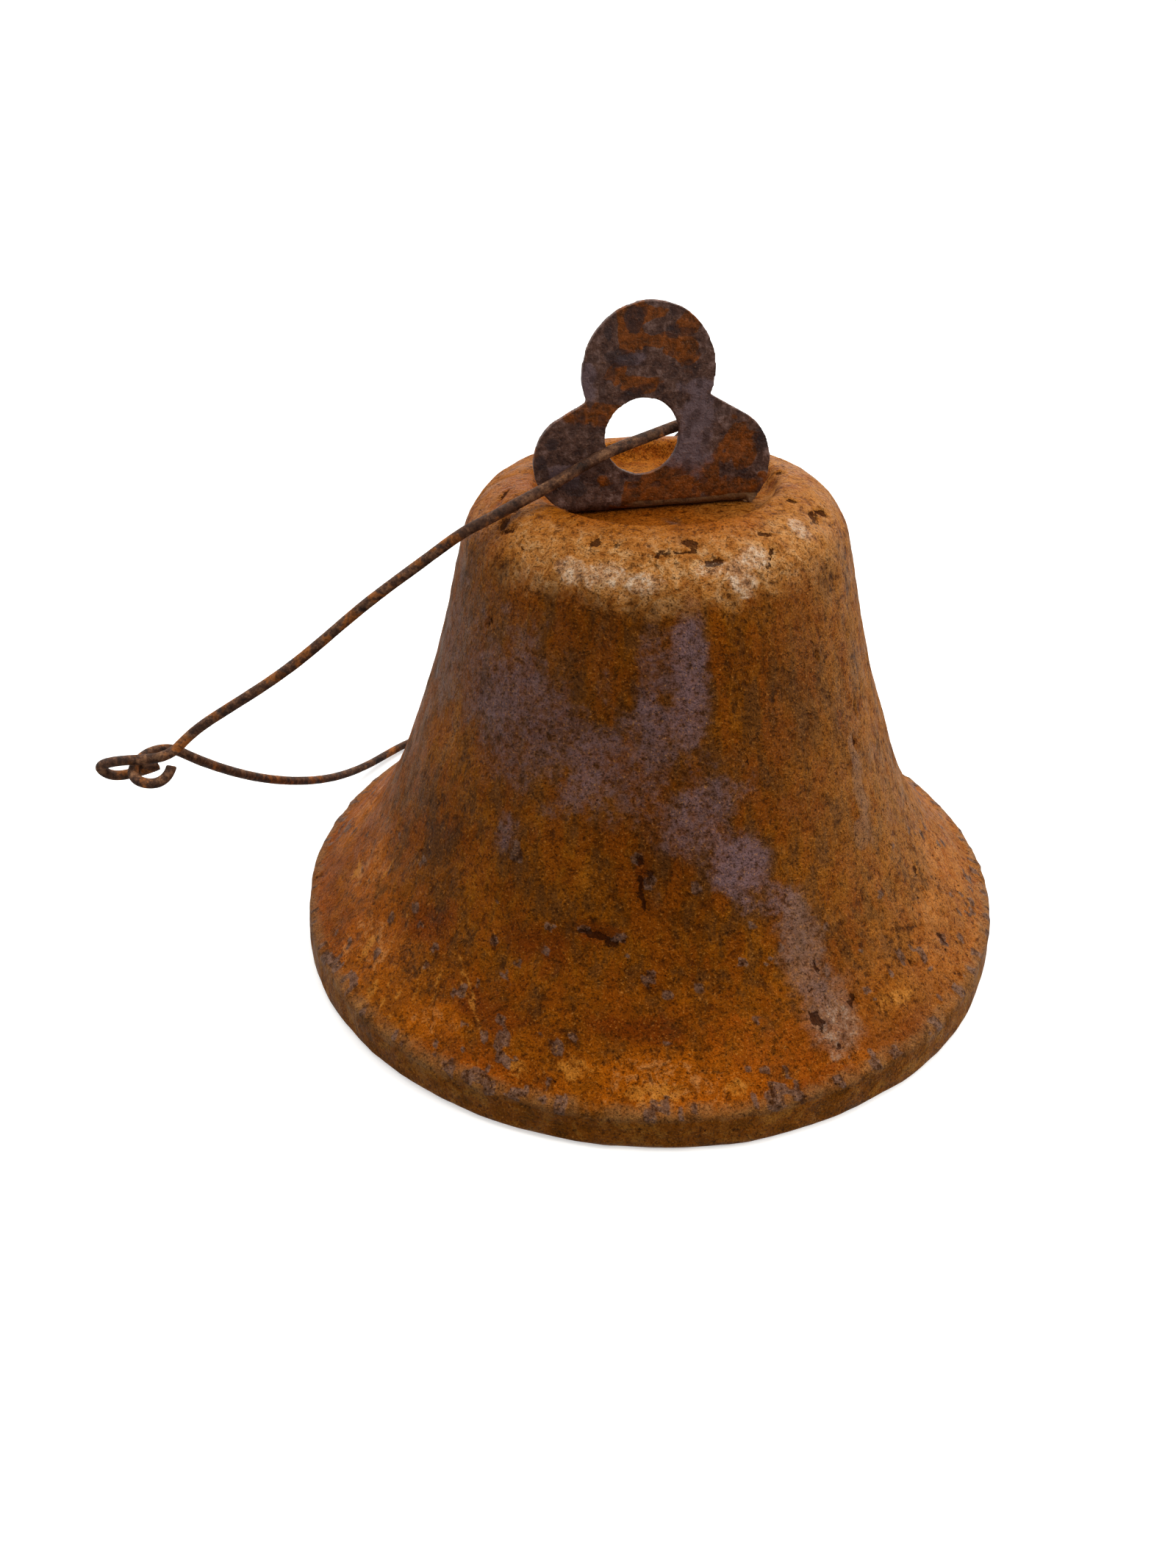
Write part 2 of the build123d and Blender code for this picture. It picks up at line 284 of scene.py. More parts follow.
# Dark reddish scorch round the cracks.
BURNT_PATCHES = [
    (-1, 70, 3, 8), (0, 62, 2.2, 5), (-8, 52, 8, 3, -5), (61, 24, 12, 5, -30),
    (68, 22, 9, 4, -20), (56, 34, 7, 4, -20), (0, 30, 18, 3), (-24, 27, 16, 4),
    (26, 14, 14, 2.5), (45, 15, 20, 4), (-45, 38, 12, 5, 30), (-20, 46, 14, 5),
]
burnt = stamped(BURNT_PATCHES, 1.9, 0.2, 0.5 * ragged)

# Thin yellow strokes rubbed up from the rim.
GOLD_STROKES = [
    (-45, 21, 0.8, 9, 24), (-42, 20, 0.7, 9, 18), (-40, 27, 0.8, 8, 14), (-36, 26, 0.7, 10, 20),
    (-47, 17, 2.0, 4), (-33, 33, 0.7, 8, 40), (-30, 30, 0.6, 8, 52), (-27, 25, 0.6, 7, 60),
    (-50, 30, 0.7, 8), (-54, 24, 2.0, 5, 10), (-10, 20, 7, 2.6), (2, 17, 10, 2.2),
    (-18, 18, 4, 2.0), (14, 17, 5, 1.8), (-62, 40, 1.2, 7, 10), (-72, 30, 5, 3),
    (45, 22, 8, 2, -10), (150, 28, 1.2, 9, 20), (-160, 24, 1.4, 8, -20),
]
gold = stamped(GOLD_STROKES, 1.6, 0.4, 0.35 * fine)

# Fresher, brighter orange, mostly low on the flare.
WARM_PATCHES = [
    (-52, 26, 22, 12), (-68, 36, 18, 12), (-34, 20, 14, 6), (4, 19, 34, 7), (30, 15, 16, 3),
    (62, 26, 18, 10), (80, 32, 14, 12), (-95, 30, 26, 12), (120, 24, 34, 8), (170, 30, 30, 9),
    (-140, 24, 30, 8), (-100, 70, 12, 24), (150, 120, 12, 18),
]
warm = stamped(WARM_PATCHES, 1.7, 0.3, 0.4 * ragged)

# Smooth glossy scale over the shoulder's front, with pale painted highlights on it.
GLOSS_AND_HIGHLIGHT_PATCHES = [
    (24, 58, 5, 3), (31, 55, 4, 2.5), (15, 56, 5, 2), (53, 53, 3, 4), (-13, 57, 6, 2.5),
    (-2, 58, 6, 2), (-24, 57, 5, 2),
]
gleam = stamped(GLOSS_AND_HIGHLIGHT_PATCHES, 1.5, 0.5, 0.35 * ragged, on_top)

# Stretches of the shell with their own crust, relief and painted light.
FRONT_MIDDLE = 8                 # degrees to the right of the viewed side
front = step(75, 35, np.abs((phi - FRONT_MIDDLE + 180) % 360 - 180))
shoulder = outside * step(138, 150, z + 2 * ragged) * step(38, 57, r + 2 * ragged)
# The shoulder's crust is stronger on the viewed side, and there its pale tan is partly a painted
# highlight.
crusty = shoulder * (0.25 + 0.6 * front) + 0.2 * outside * step(150, 155, z)
on_crown = outside * step(149, 153, z)
# The rim band's upper edge: a little relief, and a painted highlight laid on it.
band_edge = outside * step(9, 12, z) * step(17, 14, z)

# A long grey scab low on the right, the puddle it ends in, and a drip on the right flank.
scab_reach = np.minimum(spot(30, 44, 8, 15), spot(32, 26, 11, 8))
scab = step(1.7, 0.5, scab_reach + 0.25 * ragged)
puddle = step(1.1, 0.9, spot(32, 23, 9.5, 7) + 0.12 * ragged)
drip_reach = np.minimum(spot(55, 80, 3.0, 18, -5), spot(52, 65, 4.0, 6))
drip = step(1.15, 0.75, drip_reach + 0.12 * ragged)

# Relief in mm along the wall's normal. Each layer is: height, lump size, seed, octaves, where.
RELIEF = [
    (0.42, 38, 1, 2, 1.0),
    (0.17, 11, 2, 2, 1.0),
    (0.13, 4.2, 3, 2, 1.0),
    (0.5, 12, 4, 3, crusty),
    (0.15, 3.5, 5, 2, crusty),
    (0.25, 9, 8, 2, on_crown),
    (0.16, 6, 6, 2, band_edge),
]
PIT_DEPTH = 0.75
height = sum(tall * where * crust(P, lump, seed, octaves) for tall, lump, seed, octaves, where in RELIEF)
height += lift + 0.2 * scab + 0.25 * puddle + 0.25 * drip + 0.1 * veil + 0.2 * gleam
height -= PIT_DEPTH * pit
height = np.where(outside, height, 0.25 * crust(P, 14, 7, 3))
# The crown's floor stays true where the plate's foot and the bolt stack seat on it.
SEAT_SUNK = 0.12                 # mm the seat lies below the parts standing on it
seat = step(38, 31, r) * (z > 148)
height = height * (1 - seat) - SEAT_SUNK * seat * step(4, 6, r)
DEEPEST, TALLEST = -1.2, 1.1
height = np.clip(height, DEEPEST, TALLEST)
# The lip keeps its true underside, where it stands on the ground, and nothing bulges below this.
LIP_TRUE_BELOW = 1.2             # mm
height = np.where(
    z < LIP_TRUE_BELOW, np.minimum(height, 0) * step(0, LIP_TRUE_BELOW, z), height
)
P = P + N * height[:, None]

grid = np.arange(rows * COLUMNS).reshape(rows, COLUMNS)
ahead = np.roll(grid, -1, axis=1)
down = np.roll(grid, -1, axis=0)
down_ahead = np.roll(ahead, -1, axis=0)
quads = np.stack([grid, down, down_ahead, ahead], -1).reshape(-1, 4)


def mesh_from(name, points, faces):
    """A smooth-shaded object from points in mm and four-sided faces."""
    mesh = bpy.data.meshes.new(name)
    mesh.vertices.add(len(points))
    mesh.vertices.foreach_set("co", (points * MM).astype(np.float32).ravel())
    mesh.loops.add(faces.size)
    mesh.loops.foreach_set("vertex_index", faces.astype(np.int32).ravel())
    mesh.polygons.add(len(faces))
    mesh.polygons.foreach_set("loop_start", np.arange(0, faces.size, 4, dtype=np.int32))
    mesh.update(calc_edges=True)
    mesh.validate()
    mesh.polygons.foreach_set("use_smooth", np.ones(len(mesh.polygons), bool))
    obj = bpy.data.objects.new(name, mesh)
    bpy.context.scene.collection.objects.link(obj)
    return obj


def paint(obj, **layers):
    """Store each mask on the mesh, where the material reads it by name."""
    for name, values in layers.items():
        layer = obj.data.attributes.new(name, "FLOAT", "POINT")
        layer.data.foreach_set("value", values.astype(np.float32))


shell = mesh_from("rusted_bell_shell", P, quads)
away = np.abs(phi)                 # degrees round from the viewed side
low_sides = step(70, 130, away) * step(60, 20, z)
# Painted light: ochre on the crown, on the low sides and on the back, which catch more light than the side
# facing the viewer.
bright = 0.45 * on_crown + 0.5 * low_sides + 0.3 * step(100, 150, away)
bright = outside * np.clip(bright, 0, 1)
lower_flare = step(56, 16, z + 5 * crust(P, 24, 21, 2)) * step(8, 16, z)
ruddy = 0.6 * lower_flare + 0.7 * on_crown + 0.5 * step(55, 110, away)
ruddy = outside * np.clip(ruddy, 0, 1)
paint(
    shell,
    veil=veil,
    flake=flake * (1 - 0.5 * veil),
    scab=scab,
    drip=drip,
    burnt=burnt,
    warm=warm,
    pocked=pocked,
    pit=pit,
    # The crust's pale tan on the viewed side is partly a painted highlight.
    crusty=np.clip(crusty, 0, 1),
    ruddy=ruddy,
    # Painted light, in ochre.
    bright=bright,
    # The glossy scale and the puddle carry pale painted highlights.
    gleam=np.maximum(gleam, 0.45 * puddle),
    gold=gold,
    rim=outside * np.clip(step(15, 12, z), 0, 1),
    # A painted highlight along the rim band's upper edge.
    edge=band_edge,
    # Painted sheen on the right flank.
    flank=outside * step(20, 75, phi) * step(165, 110, phi),
    inside=(~outside).astype(float),
)


# ------------------------------------------------------------------ node graph helpers
def linear(rgb):
    """Scene-linear values of a 0-255 display colour."""
    return tuple(((c / 255 + 0.055) / 1.055) ** 2.4 if c > 10 else c / 255 / 12.92 for c in rgb)


COAT_ROUGHNESS = 0.24
WHITE = (255, 255, 255)


class Graph:
    """A material under construction. Inputs may be sockets, numbers or 0-255 colours."""

    def __init__(self, name):
        self.material = bpy.data.materials.new(name)
        self.material.use_nodes = True
        self.tree = self.material.node_tree
        self.tree.nodes.clear()
        self.place = self.add("ShaderNodeTexCoord").outputs["Object"]

    def add(self, kind, **settings):
        node = self.tree.nodes.new(kind)
        for k, v in settings.items():
            setattr(node, k, v)
        return node

    def feed(self, socket, value):
        if isinstance(value, bpy.types.NodeSocket):
            self.tree.links.new(value, socket)
        elif isinstance(value, tuple):
            socket.default_value = (*linear(value), 1.0)
        else:
            socket.default_value = value

    # Mix nodes have one set of sockets for each kind of data, and colour uses these.
    MIX_FACTOR, MIX_A, MIX_B, MIX_RESULT = 0, 6, 7, 2

    def noise(self, cell_mm, detail=3.0, rough=0.55, warp=0.0, shift=0.0, stretch=None):
        where = self.place
        if stretch or shift:
            m = self.add("ShaderNodeMapping")
            m.inputs["Scale"].default_value = stretch or (1, 1, 1)
            m.inputs["Location"].default_value = (shift, shift, shift)
            self.feed(m.inputs["Vector"], where)
            where = m.outputs[0]
        n = self.add("ShaderNodeTexNoise")
        self.feed(n.inputs["Vector"], where)
        n.inputs["Scale"].default_value = 1 / (cell_mm * MM)
        n.inputs["Detail"].default_value = detail
        n.inputs["Roughness"].default_value = rough
        n.inputs["Distortion"].default_value = warp
        return n.outputs["Fac"]

    def add_up(self, *weighted):
        """Sum of (weight, value) pairs."""
        total = None
        for weight, value in weighted:
            part = self.calc("MULTIPLY", value, weight)
            total = part if total is None else self.calc("ADD", total, part)
        return total

    def attr(self, name):
        return self.add("ShaderNodeAttribute", attribute_name=name).outputs["Fac"]

    def calc(self, op, a, b=0.0):
        n = self.add("ShaderNodeMath", operation=op)
        self.feed(n.inputs[0], a)
        self.feed(n.inputs[1], b)
        return n.outputs[0]

    def band(self, value, lo, hi, top=1.0):
        """0 where value is at lo, rising smoothly to top at hi."""
        n = self.add("ShaderNodeMapRange", interpolation_type="SMOOTHSTEP")
        settings = {"Value": value, "From Min": lo, "From Max": hi, "To Min": 0.0, "To Max": top}
        for socket, v in settings.items():
            self.feed(n.inputs[socket], v)
        return n.outputs[0]

    def ramp(self, value, *stops):
        """Colour ramp through (place, colour) stops."""
        n = self.add("ShaderNodeValToRGB")
        self.feed(n.inputs[0], value)
        e = n.color_ramp.elements
        while len(e) < len(stops):
            e.new(0.5)
        for slot, (at, colour) in zip(e, stops):
            slot.position = at
            slot.color = (*linear(colour), 1.0)
        return n.outputs["Color"]

    def mix(self, how_much, a, b):
        n = self.add("ShaderNodeMix", data_type="RGBA")
        self.feed(n.inputs[self.MIX_FACTOR], how_much)
        self.feed(n.inputs[self.MIX_A], a)
        self.feed(n.inputs[self.MIX_B], b)
        return n.outputs[self.MIX_RESULT]

    def bump(self, height, depth_mm, strength=1.0, below=None):
        n = self.add("ShaderNodeBump")
        n.inputs["Strength"].default_value = strength
        n.inputs["Distance"].default_value = depth_mm * MM
        self.feed(n.inputs["Height"], height)
        if below is not None:
            self.feed(n.inputs["Normal"], below)
        return n.outputs[0]

    def finish(self, colour, roughness, normal, specular=0.5, tint=WHITE, coat=0.0):
        """Close the material with its surface shader."""
        p = self.add("ShaderNodeBsdfPrincipled")
        out = self.add("ShaderNodeOutputMaterial")
        self.feed(p.inputs["Base Color"], colour)
        self.feed(p.inputs["Roughness"], roughness)
        self.feed(p.inputs["Specular IOR Level"], specular)
        self.feed(p.inputs["Specular Tint"], tint)
        self.feed(p.inputs["Normal"], normal)
        self.feed(p.inputs["Coat Weight"], coat)
        self.feed(p.inputs["Coat Roughness"], COAT_ROUGHNESS)
        self.feed(p.inputs["Coat Normal"], normal)
        self.tree.links.new(p.outputs[0], out.inputs["Surface"])
        return self.material


# ------------------------------------------------------------------ shell finish
# Shell colours, 0-255, in the order in which they are laid on.
RUST_DARK = (90, 45, 0)
RUST_BROWN = (124, 70, 0)
RUST_OCHRE = (146, 86, 4)
RUST_PALE = (176, 112, 24)
RUN_ORANGE = (142, 74, 0)
RUN_DUN = (92, 60, 30)
RUDDY_LIGHT = (162, 92, 0)
RUDDY_DEEP = (140, 70, 0)
RUDDY_RED = (158, 80, 8)
PAINTED_LIGHT_OCHRE = (190, 122, 40)
WARM_ORANGE = (182, 100, 6)
WARM_PALE = (204, 142, 84)
MOTTLE_LIGHT = (196, 128, 56)
MOTTLE_DARK = (72, 32, 2)
SCORCH = (108, 42, 0)
GOLD = (198, 134, 56)
VEIL_THIN = (98, 68, 48)
VEIL_THICK = (138, 114, 120)
DRIP_GREY = (126, 98, 82)
SCAB_GREY = (146, 118, 104)
TAN_DARK = (158, 98, 40)
TAN = (190, 134, 74)
TAN_PALE = (216, 174, 126)
PAINTED_HIGHLIGHT_DARK = (160, 108, 62)
PAINTED_HIGHLIGHT_MID = (196, 152, 108)
PAINTED_HIGHLIGHT_WHITE = (226, 202, 176)
FLANK_PAINTED_SHEEN = (184, 128, 66)
OLIVE_DARK = (112, 68, 4)
OLIVE = (134, 78, 8)
OLIVE_PALE = (156, 106, 40)
EDGE_PAINTED_HIGHLIGHT = (140, 106, 72)
FLAKE_DARK = (66, 40, 28)
FLAKE_GREY = (132, 104, 90)
GRAIN_LIGHT = (210, 148, 74)
GRAIN_DARK = (40, 18, 2)
SPECK_DARK = (52, 24, 2)
PIT_BROWN = (56, 24, 8)
INSIDE_DARK = (52, 30, 16)
INSIDE_BROWN = (104, 58, 24)
SHINE = (255, 194, 136)          # tint of the rust's own reflections


def shell_rust():
    """Rusted iron: a brown ground, then one layer for each mask, then grain, pits and relief."""
    g = Graph("shell_rust")
    broad = g.noise(34, 3, 0.6)
    mid = g.noise(7, 4, 0.62, warp=0.4)
    small = g.noise(2.2, 4, 0.65)
    grain = g.noise(0.75, 3, 0.7)
    mottle = g.noise(4.2, 5, 0.7, warp=0.8, shift=1.7)
    runs = g.noise(6, 5, 0.62, stretch=(1.0, 1.0, 0.14))
    patchy = g.add_up((0.5, mid), (0.5, small))

    def spread(name, reach, source=patchy):
        """A painted mask with its edge torn up by noise."""
        torn_by = g.calc("MULTIPLY", g.calc("SUBTRACT", source, 0.5), reach)
        return g.calc("ADD", g.attr(name), torn_by)

    # Ground, with rust runs down the wall.
    tone = g.add_up((0.45, broad), (0.25, mid), (0.3, small))
    base = g.ramp(tone, (0.38, RUST_DARK), (0.48, RUST_BROWN), (0.55, RUST_OCHRE), (0.66, RUST_PALE))
    base = g.mix(g.band(runs, 0.47, 0.58, 0.65), base, RUN_ORANGE)
    base = g.mix(g.band(runs, 0.49, 0.38, 0.60), base, RUN_DUN)

    # Orange zones, painted light in ochre, scorch and rubbed strokes.
    ruddy_tint = g.ramp(broad, (0.42, RUDDY_LIGHT), (0.50, RUDDY_DEEP), (0.58, RUDDY_RED))
    base = g.mix(g.band(spread("ruddy", 1.8), 0.15, 0.85, 0.85), base, ruddy_tint)
    # Painted light: ochre where the crown and the far sides catch more light.
    base = g.mix(g.calc("MULTIPLY", g.attr("bright"), g.band(patchy, 0.36, 0.56, 0.8)), base, PAINTED_LIGHT_OCHRE)
    base = g.mix(g.band(spread("warm", 1.8), 0.35, 1.20, 0.70), base, WARM_ORANGE)
    base = g.mix(g.band(spread("warm", 1.2, mottle), 0.95, 1.15, 0.6), base, WARM_PALE)
    base = g.mix(g.band(mottle, 0.60, 0.72, 0.40), base, MOTTLE_LIGHT)
    base = g.mix(g.band(mottle, 0.45, 0.33, 0.60), base, MOTTLE_DARK)
    base = g.mix(g.band(spread("burnt", 2.4), 0.35, 1.10, 0.55), base, SCORCH)
    base = g.mix(g.band(spread("gold", 2.2, small), 0.50, 1.15, 0.70), base, GOLD)

    # Grey films.
    veil = spread("veil", 1.0, small)
    base = g.mix(g.band(veil, 0.25, 0.95, 0.62), base, VEIL_THIN)
    base = g.mix(g.band(veil, 0.56, 1.22, 0.80), base, VEIL_THICK)
    base = g.mix(g.band(spread("drip", 0.8), 0.35, 0.8, 0.6), base, DRIP_GREY)
    base = g.mix(g.band(spread("scab", 1.6), 0.35, 1.2, 0.50), base, SCAB_GREY)

    # Crust on the shoulder, with a painted highlight in its pale tan; glossy scale with painted
    # highlights; and painted sheen on the right flank.
    tan = g.ramp(mottle, (0.36, TAN_DARK), (0.50, TAN), (0.64, TAN_PALE))
    base = g.mix(g.band(spread("crusty", 1.2), 0.20, 1.1, 0.85), base, tan)
    gleam = g.band(spread("gleam", 1.6), 0.30, 1.10)
    # Pale painted highlights on the glossy scale.
    gleam_tint = g.ramp(small, (0.40, PAINTED_HIGHLIGHT_DARK), (0.50, PAINTED_HIGHLIGHT_MID), (0.62, PAINTED_HIGHLIGHT_WHITE))
    base = g.mix(g.calc("MULTIPLY", gleam, 0.75), base, gleam_tint)
    # Painted sheen, in tan, on the right flank.
    base = g.mix(g.calc("MULTIPLY", g.attr("flank"), g.band(patchy, 0.36, 0.58, 0.6)), base, FLANK_PAINTED_SHEEN)

    # Rim band, with a painted highlight along its upper edge.
    olive = g.ramp(mid, (0.38, OLIVE_DARK), (0.50, OLIVE), (0.62, OLIVE_PALE))
    base = g.mix(g.calc("MULTIPLY", g.attr("rim"), 0.8), base, olive)
    base = g.mix(g.band(spread("edge", 1.8, mid), 0.5, 1.2, 0.55), base, EDGE_PAINTED_HIGHLIGHT)

    # Scabs, grain and specks.
    flake_tint = g.ramp(small, (0.38, FLAKE_DARK), (0.62, FLAKE_GREY))
    base = g.mix(g.band(spread("flake", 1.0, small), 0.40, 0.80, 0.85), base, flake_tint)
    base = g.mix(g.band(grain, 0.57, 0.70, 0.50), base, GRAIN_LIGHT)
    base = g.mix(g.band(grain, 0.47, 0.34, 0.70), base, GRAIN_DARK)
    base = g.mix(g.band(small, 0.44, 0.34, 0.50), base, SPECK_DARK)

    # Pits: the modelled ones, and small torn holes that are commoner where the wall is pocked.
    torn = g.noise(2.6, 3, 0.62, shift=5.3)
    torn = g.band(g.add_up((1.0, torn), (0.06, g.attr("pocked"))), 0.715, 0.735)
    pit_edges = g.noise(1.8, 4, 0.7, shift=8.1)
    pit_mask = g.calc("MAXIMUM", g.band(spread("pit", 2.4, pit_edges), 0.55, 0.75), torn)
    base = g.mix(g.calc("MULTIPLY", pit_mask, 0.85), base, PIT_BROWN)
    inside = g.ramp(tone, (0.38, INSIDE_DARK), (0.6, INSIDE_BROWN))
    base = g.mix(g.attr("inside"), base, inside)

    # Gloss and fine relief.
    gloss = g.noise(9, 3, 0.6, shift=3.1)
    rough = g.calc("ADD", g.band(gloss, 0.3, 0.7, 0.3), 0.36)
    rough = g.calc("SUBTRACT", rough, g.calc("MULTIPLY", g.attr("veil"), 0.10))
    rough = g.calc("SUBTRACT", rough, g.calc("MULTIPLY", gleam, 0.20))
    rough = g.calc("ADD", rough, g.calc("MULTIPLY", pit_mask, 0.3))
    relief = g.bump(mid, 1.6, 1.0)
    relief = g.bump(mottle, 1.4, 1.0, relief)
    relief = g.bump(small, 1.3, 1.0, relief)
    relief = g.bump(grain, 0.6, 1.0, relief)
    relief = g.bump(g.calc("SUBTRACT", 1.0, pit_mask), 0.5, 1.0, relief)
    # Wax-like gloss on the smooth scale along the shoulder's front.
    gloss_coat = g.calc("MULTIPLY", gleam, 0.7)
    return g.finish(base, rough, relief, specular=0.24, tint=SHINE, coat=gloss_coat)


shell.data.materials.append(shell_rust())
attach(shell, "bell")
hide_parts("bell_shell")


# ------------------------------------------------------------------ weathered pieces
# Stains and patches of painted reflection on the plate: across from the middle of the top lobe, height,
# half width, half height.
PLATE_BLOOM = [
    (10, 6.5, 23, 7.5), (28, 17.5, 6, 8), (-1.5, 37.8, 7, 3), (-7, 51, 3.5, 6), (0, 57, 6, 2.5),
    (1, 50, 9, 2.6), (9, 47, 5, 3.5), (10, 54, 5, 3), (-10, 41, 4, 3), (-12, 31, 4, 2),
]
PLATE_SOOT = [
    (-5, 55.5, 2.6, 3), (6.5, 52, 2.6, 2.6), (-9.5, 46, 5, 2.8), (-12, 51, 1.6, 4),
    (-5, 35.5, 3, 1.6), (-29, 22.5, 2.4, 2), (-32.5, 16.5, 2, 2.4), (-21.5, 9, 3.5, 3),
    (35, 20, 3, 4.5), (30, 10, 2.4, 1.5),
]
PLATE_PAINTED_REFLECTION = [
    (13, 18, 5.5, 8), (15.5, 26, 6, 9), (14, 36.5, 6, 3), (-24, 13, 6, 4), (-18, 40, 3, 6),
    (-6, 45, 5, 1.6),
]
TOP_LOBE_OFFSET = 1.9            # mm the top lobe stands left of the middle of the plate's box


def plate_stains(co):
    """Where the plate is orange or black, where a cool reflection is painted, and where a painted
    highlight runs tan along the bend at its foot.
    """
    low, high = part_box("hanger_plate")
    x = co[:, 0] - (low.x + high.x) / 2 / MM + TOP_LOBE_OFFSET
    h = co[:, 2] - low.z / MM
    torn = crust(co, 5, 71)

    def spots(places):
        total = np.zeros(len(co))
        for at_x, at_h, w, tall in places:
            reach = np.hypot((x - at_x) / w, (h - at_h) / tall)
            total = np.maximum(total, step(1.5, 0.4, reach + 0.45 * torn))
        return total

    # A painted highlight, in tan, along the bend into the foot.
    foot = step(4.0, 2.6, h + 0.5 * torn) * step(-12, 2, x)
    return dict(bloom=spots(PLATE_BLOOM), soot=spots(PLATE_SOOT), painted_reflection=spots(PLATE_PAINTED_REFLECTION), foot=foot)


WELD_MM = 0.002


def weathered(node, name, body, slot, voxel, depth, cell, seed, material):
    """A fine copy of a CAD piece, eaten by rust: its points are moved inwards only.

    voxel is the copy's mesh size, depth how far the rust eats and cell how wide its lumps are,
    all in mm. In the holes it eats up to half as much again.
    """
    piece = nodes[node].copy()
    piece.data = nodes[node].data.copy()
    piece.name = name
    for key in list(piece.keys()):
        del piece[key]
    piece.parent = None
    bpy.context.scene.collection.objects.link(piece)
    weld = piece.modifiers.new("weld", "WELD")
    weld.merge_threshold = WELD_MM * MM
    remesh = piece.modifiers.new("remesh", "REMESH")
    remesh.mode = "VOXEL"
    remesh.voxel_size = voxel * MM
    bpy.context.view_layer.update()
    ready = piece.evaluated_get(bpy.context.evaluated_depsgraph_get())
    mesh = bpy.data.meshes.new_from_object(ready)
    piece.modifiers.clear()
    piece.data = mesh
    count = len(mesh.vertices)
    co = np.zeros(count * 3)
    mesh.vertices.foreach_get("co", co)
    nor = np.zeros(count * 3)
    mesh.vertex_normals.foreach_get("vector", nor)
    co = co.reshape(-1, 3) / MM
    eaten = depth * (0.5 + 0.5 * np.clip(crust(co, cell, seed, 3), -1, 1))
    holes = step(0.25, 0.55, noise(co, cell * 0.9, seed + 5))
    eaten = eaten + 0.5 * depth * holes
    co = co - nor.reshape(-1, 3) * eaten[:, None]
    mesh.vertices.foreach_set("co", (co * MM).astype(np.float32).ravel())
    mesh.polygons.foreach_set("use_smooth", np.ones(len(mesh.polygons), bool))
    mesh.update()
    stains = plate_stains(co) if node == "hanger_plate" else {}
    paint(piece, worn=holes, **stains)
    mesh.materials.clear()
    mesh.materials.append(material)
    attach(piece, body)
    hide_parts(node)
    return piece


STEEL_PAINTED_REFLECTION = (112, 94, 98)
STEEL_SOOT = (56, 42, 42)
STEEL_FOOT_HIGHLIGHT = (134, 108, 80)
STEEL_GRAIN_LIGHT = (176, 128, 88)
STEEL_GRAIN_DARK = (24, 12, 8)


def scaly_steel(name, dark, brown, orange, grey, wear, cell, rough_low, relief_mm, placed=0.0):
    """Dark scale over brown, with orange bloom and greyish bare flats.

    wear is the noise level where the bloom starts, cell its width in mm, and placed how strongly
    the plate's painted stains, painted reflection and painted highlight count; 0 leaves them out.
    """
    g = Graph(name)
    broad = g.noise(cell, 3, 0.6, warp=0.5)
    mid = g.noise(cell * 0.3, 4, 0.65)
    small = g.noise(1.8, 4, 0.65)
    grain = g.noise(0.7, 3, 0.7)
    patchy = g.add_up((0.5, mid), (0.5, small))
    base = g.ramp(patchy, (0.38, dark), (0.50, brown), (0.64, grey))
    lean = g.add_up((1.0, broad), (0.35, mid), (placed, g.attr("bloom")))
    bloom = g.band(lean, wear, wear + 0.08, 0.9)
    deep_orange = tuple(int(c * 0.75) for c in orange)
    pale_orange = tuple(min(255, int(c * 1.3)) for c in orange)
    tint = g.ramp(small, (0.35, deep_orange), (0.65, pale_orange))
    base = g.mix(bloom, base, tint)
    if placed:
        ragged = g.calc("MULTIPLY", g.calc("SUBTRACT", mid, 0.5), 1.6)
        # Painted cool reflection on the plate.
        base = g.mix(g.band(g.calc("ADD", g.attr("painted_reflection"), ragged), 0.3, 1.0, 0.7), base, STEEL_PAINTED_REFLECTION)
        base = g.mix(g.band(g.calc("ADD", g.attr("soot"), ragged), 0.35, 0.8, 0.7), base, STEEL_SOOT)
        # Painted highlight along the bend at the plate's foot.
        base = g.mix(g.band(g.attr("foot"), 0.3, 0.7, 0.75), base, STEEL_FOOT_HIGHLIGHT)
    base = g.mix(g.band(g.attr("worn"), 0.3, 0.9, 0.5), base, dark)
    base = g.mix(g.band(grain, 0.60, 0.72, 0.35), base, STEEL_GRAIN_LIGHT)
    base = g.mix(g.band(grain, 0.44, 0.32, 0.5), base, STEEL_GRAIN_DARK)
    rough = g.calc("ADD", g.band(mid, 0.3, 0.7, 0.3), rough_low)
    relief = g.bump(mid, relief_mm, 0.7)
    relief = g.bump(small, 0.5, 1.0, relief)
    relief = g.bump(grain, 0.25, 1.0, relief)
    return g.finish(base, rough, relief, specular=0.3)


plate_finish = scaly_steel(
    "plate_scale", dark=(62, 40, 34), brown=(96, 68, 56), orange=(108, 58, 0), grey=(134, 108, 100),
    wear=0.80, cell=16, rough_low=0.34, relief_mm=0.6, placed=0.38,
)
wire_finish = scaly_steel(
    "wire_scale", dark=(48, 30, 20), brown=(92, 62, 44), orange=(136, 84, 38), grey=(150, 112, 82),
    wear=0.72, cell=14, rough_low=0.5, relief_mm=0.3,
)
bolt_finish = scaly_steel(
    "bolt_rust", dark=(44, 26, 18), brown=(92, 54, 28), orange=(150, 84, 34), grey=(112, 88, 72),
    wear=0.62, cell=8, rough_low=0.45, relief_mm=0.3,
)
clapper_finish = scaly_steel(
    "clapper_rust", dark=(38, 24, 18), brown=(84, 50, 28), orange=(140, 76, 30), grey=(104, 82, 70),
    wear=0.66, cell=14, rough_low=0.42, relief_mm=0.45,
)

